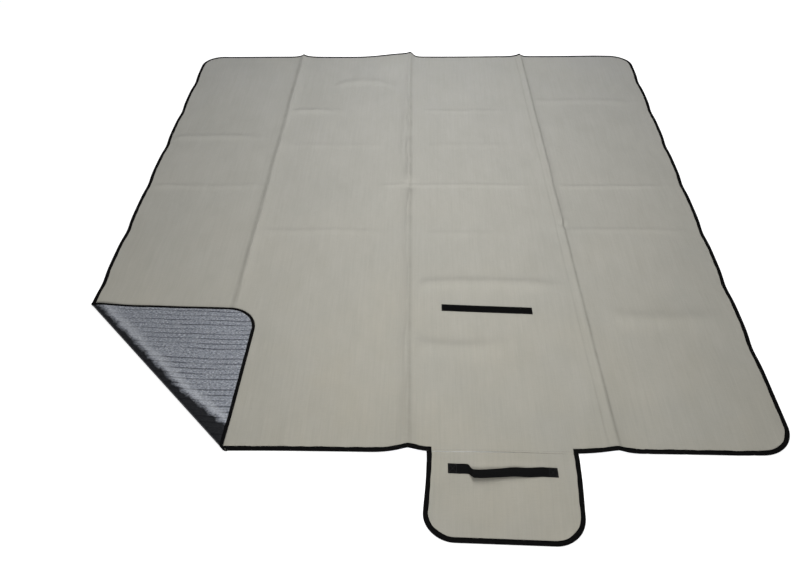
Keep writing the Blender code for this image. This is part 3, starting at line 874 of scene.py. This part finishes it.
tape_piece("tape_roll_near", [roll_run], on_mat, (0.0, -near_slant), roll_bodies, ["corner_tape"], roll_range)
corner_side = straight_run((left_edge, top_left), (left_edge, inner_near), (-1, 0), [0.0])
corner_near = straight_run((-inner_x, near_edge), (top_near, near_edge), (0, -1), [top_near + inner_x])
tape_piece(
    "tape_corner", [corner_side, arc_run((-inner_x, inner_near), mat_corner, 180, 270), corner_near],
    on_mat, (left_slant, -near_slant), ("turned_corner", "left_half", *laid_bend[::-1]),
    ["corner_tape"], (roll_top, 9.0),
)
flap_low = flap_end + flap_corner
tape_piece(
    "tape_flap",
    [
        straight_run((flap_left, near_edge), (flap_left, flap_low), (-1, 0), [0.0]),
        arc_run((flap_left + flap_corner, flap_low), flap_corner, 180, 270),
        arc_run((flap_right - flap_corner, flap_low), flap_corner, 270, 360),
        straight_run((flap_right, flap_low), (flap_right, near_edge), (1, 0), [near_edge - flap_low]),
    ],
    on_flap, (0.0, 0.0), ("flap", "root", *flap_bend), ["flap_tape"],
)


# ------------------------------------------------------------------------------
# Sewing thread: black polyester, lockstitched through the tape 2 mm from its inner edge, on both faces.
# Each stitch is a small domed loop, 2.6 mm long, with 0.8 mm between it and the next.
# ------------------------------------------------------------------------------

stitch_pitch = 0.0034
stitch_half = (0.0013, 0.00032)
stitch_rise = 0.00034


def spun_thread(name, colour):
    """Twisted thread: fine slanting ridges, and a slight change of tone along it."""
    made = Nodes(name)
    strands = made.noise(made.flat((1.0, 0.3, 1.0), 0.6), 4000.0, 2.0)
    shade = made.mix(made.ramp(strands, 0.3, 0.7), colour, tuple(c * 0.55 for c in colour[:3]) + (1,))
    return made.finish(shade, 0.6, [(strands, 0.0001)])


def stitches(name, points, surface, up, material, bend, face=1.0, past=(-9.0, 9.0)):
    """Stitches along flat points, each a dome: height = rise x root(1 - u squared) x root(1 - v squared).

    Those whose distance beyond the fold line is outside past are left out.
    """
    steps = np.linalg.norm(np.diff(points, axis=0), axis=1)
    travelled = np.concatenate([[0.0], np.cumsum(steps)])
    places = np.arange(stitch_pitch / 2, travelled[-1], stitch_pitch)
    centre = np.stack([np.interp(places, travelled, points[:, axis]) for axis in (0, 1)], -1)
    distance = beyond_fold(centre[:, 0], centre[:, 1])
    kept = (distance > past[0]) & (distance < past[1])
    if not kept.any():
        return
    centre, places = centre[kept], places[kept]
    ahead = np.stack([np.interp(places + 0.0005, travelled, points[:, axis]) for axis in (0, 1)], -1)
    behind = np.stack([np.interp(places - 0.0005, travelled, points[:, axis]) for axis in (0, 1)], -1)
    heading = ahead - behind
    heading /= np.linalg.norm(heading, axis=1, keepdims=True)
    side = np.stack([-heading[:, 1], heading[:, 0]], -1)
    u = np.array([-1.0, -0.7, 0.0, 0.7, 1.0])[None, :, None]
    v = np.array([-1.0, 0.0, 1.0])[None, None, :] * face
    x, y = [
        centre[:, axis, None, None] + heading[:, axis, None, None] * u * stitch_half[0]
        + side[:, axis, None, None] * v * stitch_half[1] for axis in (0, 1)
    ]
    dome = np.sqrt(np.maximum(1 - u**2, 0)) * np.sqrt(np.maximum(1 - v**2, 0)) * stitch_rise
    placed = surface(x, y, up + face * (dome - 0.00008) + 0 * x)
    index = np.arange(placed[..., 0].size, dtype=np.int32).reshape(x.shape)
    corners = [index[:, :-1, :-1], index[:, 1:, :-1], index[:, 1:, 1:], index[:, :-1, 1:]]
    quads = np.stack(corners, -1).reshape(-1, 4)
    mesh = bpy.data.meshes.new(name)
    mesh.from_pydata(placed.reshape(-1, 3).tolist(), [], quads.tolist())
    mesh.polygons.foreach_set("use_smooth", np.ones(len(quads), bool))
    cut = mesh.uv_layers.new(name="flat")
    cut.data.foreach_set("uv", np.stack([x, y], -1).reshape(-1, 2)[quads.ravel()].astype(np.float32).ravel())
    made = piece(name, mesh, material)
    if bend[0] == bend[1]:
        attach(made, bend[0])
    else:
        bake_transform(made)


def inset_run(runs, inset):
    """The points of runs of stations, moved in from the edge."""
    return np.concatenate([points - outward * inset for points, outward in runs])


black_thread = spun_thread("black_thread", (0.011, 0.011, 0.012, 1))
seam_inset = tape_width - 0.0022
under_inset = tape_under - 0.0018
for name, runs, surface, bend, past in tape_runs:
    rows = (("thread", seam_inset, tape_top + 0.0001), ("under_thread", under_inset, tape_bottom))
    for face, inset, up in rows:
        way = 1.0 if face == "thread" else -1.0
        points = inset_run(runs, inset)
        stitches(f"{name}_{face}", points, surface, up, black_thread, bend, way, past)


# ------------------------------------------------------------------------------
# Flap seam: the flap's face is sewn on under the mat's near edge. The join shows as one fine pressed line,
# a thin strip of painted shadow, with a row of grey stitches beside it.
# ------------------------------------------------------------------------------

grey_thread = spun_thread("grey_thread", (0.235, 0.23, 0.203, 1))
seam_x = np.linspace(flap_left + 0.016, flap_right - 0.016, 60)
seam_points = np.stack([seam_x, np.full_like(seam_x, near_edge + 0.0045)], -1)
stitches("flap_seam_thread", seam_points, on_mat, half_thick, grey_thread, ("root", "root"))


def painted_seam_shadow():
    """The shadow line of a pressed seam: dark warm grey."""
    made = Nodes("painted_seam_shadow")
    tone = made.noise(made.flat((1.0, 1.0, 1.0)), 60.0, 3.0)
    colour = made.mix(made.ramp(tone, 0.3, 0.7), (0.13, 0.128, 0.112, 1), (0.27, 0.265, 0.235, 1))
    return made.finish(colour, 0.95, [(tone, 0.0002)])


line_x = np.linspace(flap_left + 0.105, flap_right - 0.030, 120)[None, :]
line_side = np.array([-1.0, 0.0, 1.0])[:, None]
line_half = 0.0007 * np.sin(np.pi * np.linspace(0.02, 0.98, 120))[None, :] ** 0.5
line_y = near_edge + 0.0012 - 0.008 * (line_x - flap_left) + line_side * line_half
line_flat_x = line_x + 0 * line_y
line_up = half_thick + 0.00012 * (1 - line_side**2) + 0 * line_y
# A thin strip painted dark as the seam's shadow.
seam_line = piece("flap_seam", grid_mesh(
    "flap_seam", on_mat(line_flat_x, line_y, line_up), np.stack([line_flat_x, line_y], -1)), painted_seam_shadow())
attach(seam_line, "root")


# ------------------------------------------------------------------------------
# Hook-and-loop strips, 25 mm wide: the loop half is sewn on the mat, pile up, and the hook half under the
# flap, hooks down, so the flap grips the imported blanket. Both are black nylon.
# ------------------------------------------------------------------------------

strip_thickness = 0.0013


def nylon_strip(name, scale, height):
    """Black nylon pile or hooks: dense fine grain as bump, with greyed tips."""
    made = Nodes(name)
    grain = made.add("TexVoronoi", [("Vector", made.flat()), ("Scale", scale)]).outputs["Distance"]
    fuzz = made.noise(made.flat(), 1500.0, 3.0, 0.7)
    greyed = made.ramp(fuzz, 0.4, 0.8, 0.0, 0.7)
    colour = made.mix(greyed, (0.0024, 0.0024, 0.0026, 1), (0.0095, 0.0095, 0.0095, 1))
    return made.finish(colour, 0.95, [(grain, height), (fuzz, height)], Specular_IOR_Level=0.05)


def strip(name, node, surface, up, face, material, body, askew=0.0):
    """A sewn strip: a fine grid with a selvedge, its pile jittered in height by a seeded draw."""
    low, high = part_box(node)
    x = np.linspace(low.x, high.x, 190)[None, :]
    v = np.linspace(0, 1, 22)[:, None]
    y = low.y + (high.y - low.y) * v
    x, y = np.broadcast_arrays(x, y)
    middle = np.array([(low.x + high.x) / 2, (low.y + high.y) / 2])
    from_side = np.minimum(np.minimum(x - low.x, high.x - x), np.minimum(y - low.y, high.y - y))
    y = y - askew * (x - middle[0])
    rng = np.random.default_rng(7)
    pile = ease((from_side - 0.0022) / 0.0012) * (0.0002 + 0.0004 * rng.random(x.shape))
    placed = surface(x, y, up + face * pile)
    flat = np.stack([x, y], -1)
    if face < 0:
        placed, flat = placed[::-1], flat[::-1]
    made = piece(name, grid_mesh(name, placed, flat), material, strip_thickness)
    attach(made, body)
    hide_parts(node)
    inset = 0.0012
    corners = [(low.x, low.y), (high.x, low.y), (high.x, high.y), (low.x, high.y), (low.x, low.y)]
    border = np.array(corners) - np.sign(np.array(corners) - middle) * inset
    border[:, 1] -= askew * (border[:, 0] - middle[0])
    stitches(f"{name}_thread", border, surface, up, black_thread, (body, body), face)


loop_pile = nylon_strip("loop_pile", 900.0, 0.0004)
hook_rows = nylon_strip("hook_rows", 600.0, 0.0006)
strip("loop_tape", "loop_strip", on_mat, half_thick + strip_thickness, 1.0, loop_pile, "root", 0.045)
strip("hook_tape", "hook_strip", on_flap, -half_thick, -1.0, hook_rows, "flap")


# ------------------------------------------------------------------------------
# Carrying handle: one strip of 25 mm black polypropylene webbing, sewn flat to the flap at its two ends.
# It lies slack between them, kinked forward near its left end. It is made in two halves that meet in the
# middle, because each half is held at one end.
# ------------------------------------------------------------------------------

strap_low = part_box("handle_end_left")[0]
strap_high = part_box("handle_end_right")[1]
strap_length = strap_high.x - strap_low.x
strap_width = strap_high.y - strap_low.y
strap_thickness = 0.0014
kink_at, kink_forward, kink_up = 0.056, 0.0150, 0.0085
sewn_length = 0.022


def handle_webbing():
    """Black webbing: ribs across it in a herringbone, with a slight shine on the crowns."""
    made = Nodes("handle_webbing")
    split = made.add("SeparateXYZ", [("Vector", made.flat())])
    sideways = made.maths("MULTIPLY", made.maths("ABSOLUTE", split.outputs["Y"]), 0.6)
    slant = made.maths("ADD", split.outputs["X"], sideways)
    ribs = made.maths("ABSOLUTE", made.maths("SINE", made.maths("MULTIPLY", slant, math.pi / 0.0016)))
    fuzz = made.noise(made.flat(), 900.0, 3.0, 0.6)
    greyed = made.ramp(fuzz, 0.4, 0.8, 0.0, 0.6)
    colour = made.mix(greyed, (0.0036, 0.0036, 0.0038, 1), (0.012, 0.012, 0.012, 1))
    return made.finish(colour, 0.8, [(ribs, 0.0003), (fuzz, 0.0001)], Specular_IOR_Level=0.08)


def strap_surface(s, v):
    """The strap's upper face, for distance s along it and v across, from -1 at the near side to 1.

    Past the sewn end it steps forward and up at the kink, then eases back to the other end.
    """
    kinked = ease((s - (kink_at - 0.012)) / 0.018)
    slack = kinked * (1 - ease((s - kink_at) / (strap_length - kink_at - sewn_length)))
    free = ease((s - sewn_length) / 0.02)
    wave = 0.0012 * np.sin(s * 60.0) * free * ease((strap_length - sewn_length - s) / 0.02)
    x = strap_low.x + s - 0.004 * slack
    across = strap_low.y + strap_width * (v + 1) / 2
    y = across - kink_forward * slack - 0.010 * s / strap_length + 0.003 + wave
    ripple = 0.0016 * (1 - np.abs(slack * 2 - 1)) * np.sin(s * 90.0)
    rise = kink_up * slack**0.8 + 0.0030 * slack * -v + ripple
    resting = mat_thickness + 0.0003 + strap_thickness
    return np.stack([x, y, resting + flap_swell(x, y) + rise], -1)


def flap_swell(x, y):
    """How high the flap's face stands over its flat height under a point."""
    return flap_surface(x, y)[..., 2] - half_thick


def strap_half(name, first, last, nodes):
    """One half of the strap, as a grid along it and across it with rounded selvedges."""
    s = np.linspace(first, last, 90)[None, :]
    v = np.sin(np.linspace(-math.pi / 2, math.pi / 2, 15))[:, None]
    s, v = np.broadcast_arrays(s, v)
    placed = strap_surface(s, v)
    placed[..., 2] -= 0.0004 * np.abs(v) ** 8
    mesh = grid_mesh(name, placed, np.stack([s, v * strap_width / 2], -1))
    made = piece(name, mesh, webbing, strap_thickness)
    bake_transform(made)
    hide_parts(*nodes)


webbing = handle_webbing()
strap_middle = strap_length * 0.5
strap_half(
    "handle_left", 0.0, strap_middle,
    ["handle_end_left", "handle_strap"],
)
strap_half(
    "handle_right", strap_middle, strap_length,
    ["handle_end_right"],
)


def on_strap(x, y, up):
    """A point over the strap's face, for a distance along it and a distance across it from its middle."""
    placed = strap_surface(x, np.clip(y / (strap_width / 2), -1, 1))
    placed[..., 2] += up
    return placed


for name, start in (("handle_left", 0.0), ("handle_right", strap_length - sewn_length)):
    near, far = -strap_width / 2 + 0.0025, strap_width / 2 - 0.0025
    left, right = start + 0.0025, start + sewn_length - 0.0025
    border = [(left, near), (right, near), (right, far), (left, far), (left, near)]
    box_path = np.array([*border, (right, far), (right, near), (left, far)])
    stitches(f"{name}_thread", box_path, on_strap, 0.00004, black_thread, ("flap", "flap"))


# ------------------------------------------------------------------------------
# Floor, light and camera: a plain pale floor, one broad soft light overhead, a wide light from the near
# side and a dim even surround. The camera stands in front of the near edge, looking down.
# ------------------------------------------------------------------------------


def pale_floor():
    """Plain matt floor, nearly white, and lit a little from within so that it stays even to its far edge."""
    made = Nodes("pale_floor")
    made.join(made.shader.inputs["Specular IOR Level"], 0.05)
    made.join(made.shader.inputs["Emission Color"], (1, 1, 1, 1))
    made.join(made.shader.inputs["Emission Strength"], 0.62)
    return made.finish((0.86, 0.86, 0.86, 1), 0.95, [])


floor_mesh = bpy.data.meshes.new("floor")
floor_half = 80.0
floor_corners = [(-1, -1), (1, -1), (1, 1), (-1, 1)]
floor_points = [(x * floor_half, y * floor_half, -0.0014) for x, y in floor_corners]
floor_mesh.from_pydata(floor_points, [], [(0, 1, 2, 3)])
floor_mesh.materials.append(pale_floor())
floor = bpy.data.objects.new("floor", floor_mesh)
bpy.context.scene.collection.objects.link(floor)


def soft_light(name, place, size, power):
    """A rectangular area light facing straight down, unseen by the camera itself."""
    lamp = bpy.data.lights.new(name, "AREA")
    lamp.shape = "RECTANGLE"
    lamp.size, lamp.size_y = size
    lamp.energy = power
    made = bpy.data.objects.new(name, lamp)
    made.location = place
    made.visible_camera = False
    bpy.context.scene.collection.objects.link(made)


def front_fill(name, height_angle, strength, spread):
    """A wide, even light from the near side, at a height above the ground in degrees."""
    lamp = bpy.data.lights.new(name, "SUN")
    lamp.energy = strength
    lamp.angle = math.radians(spread)
    made = bpy.data.objects.new(name, lamp)
    made.rotation_euler = (math.radians(90 - height_angle), 0.0, math.radians(4))
    bpy.context.scene.collection.objects.link(made)


soft_light("overhead", (0.08, 0.20, 1.20), (0.30, 3.0), 16.5)
front_fill("near_side", 32, 1.75, 14)
world = bpy.data.worlds.new("surround")
world.use_nodes = True
world.node_tree.nodes["Background"].inputs["Color"].default_value = (1, 1, 1, 1)
world.node_tree.nodes["Background"].inputs["Strength"].default_value = 0.12
bpy.context.scene.world = world
bpy.context.scene.view_settings.view_transform = "Standard"

camera_data = bpy.data.cameras.new("camera")
camera_data.lens = 33.26
camera_data.sensor_width = 36.0
camera = bpy.data.objects.new("camera", camera_data)
camera.location = (0.031, -1.895, 1.471)
camera_down = math.radians(43.06)
camera_aside = math.radians(1.693)
camera_tilt = math.radians(-0.913)
camera.rotation_mode = "QUATERNION"
camera.rotation_quaternion = (
    Quaternion((0, 0, 1), camera_aside)
    @ Quaternion((1, 0, 0), math.pi / 2 - camera_down)
    @ Quaternion((0, 0, 1), camera_tilt)
)
bpy.context.scene.collection.objects.link(camera)
bpy.context.scene.camera = camera
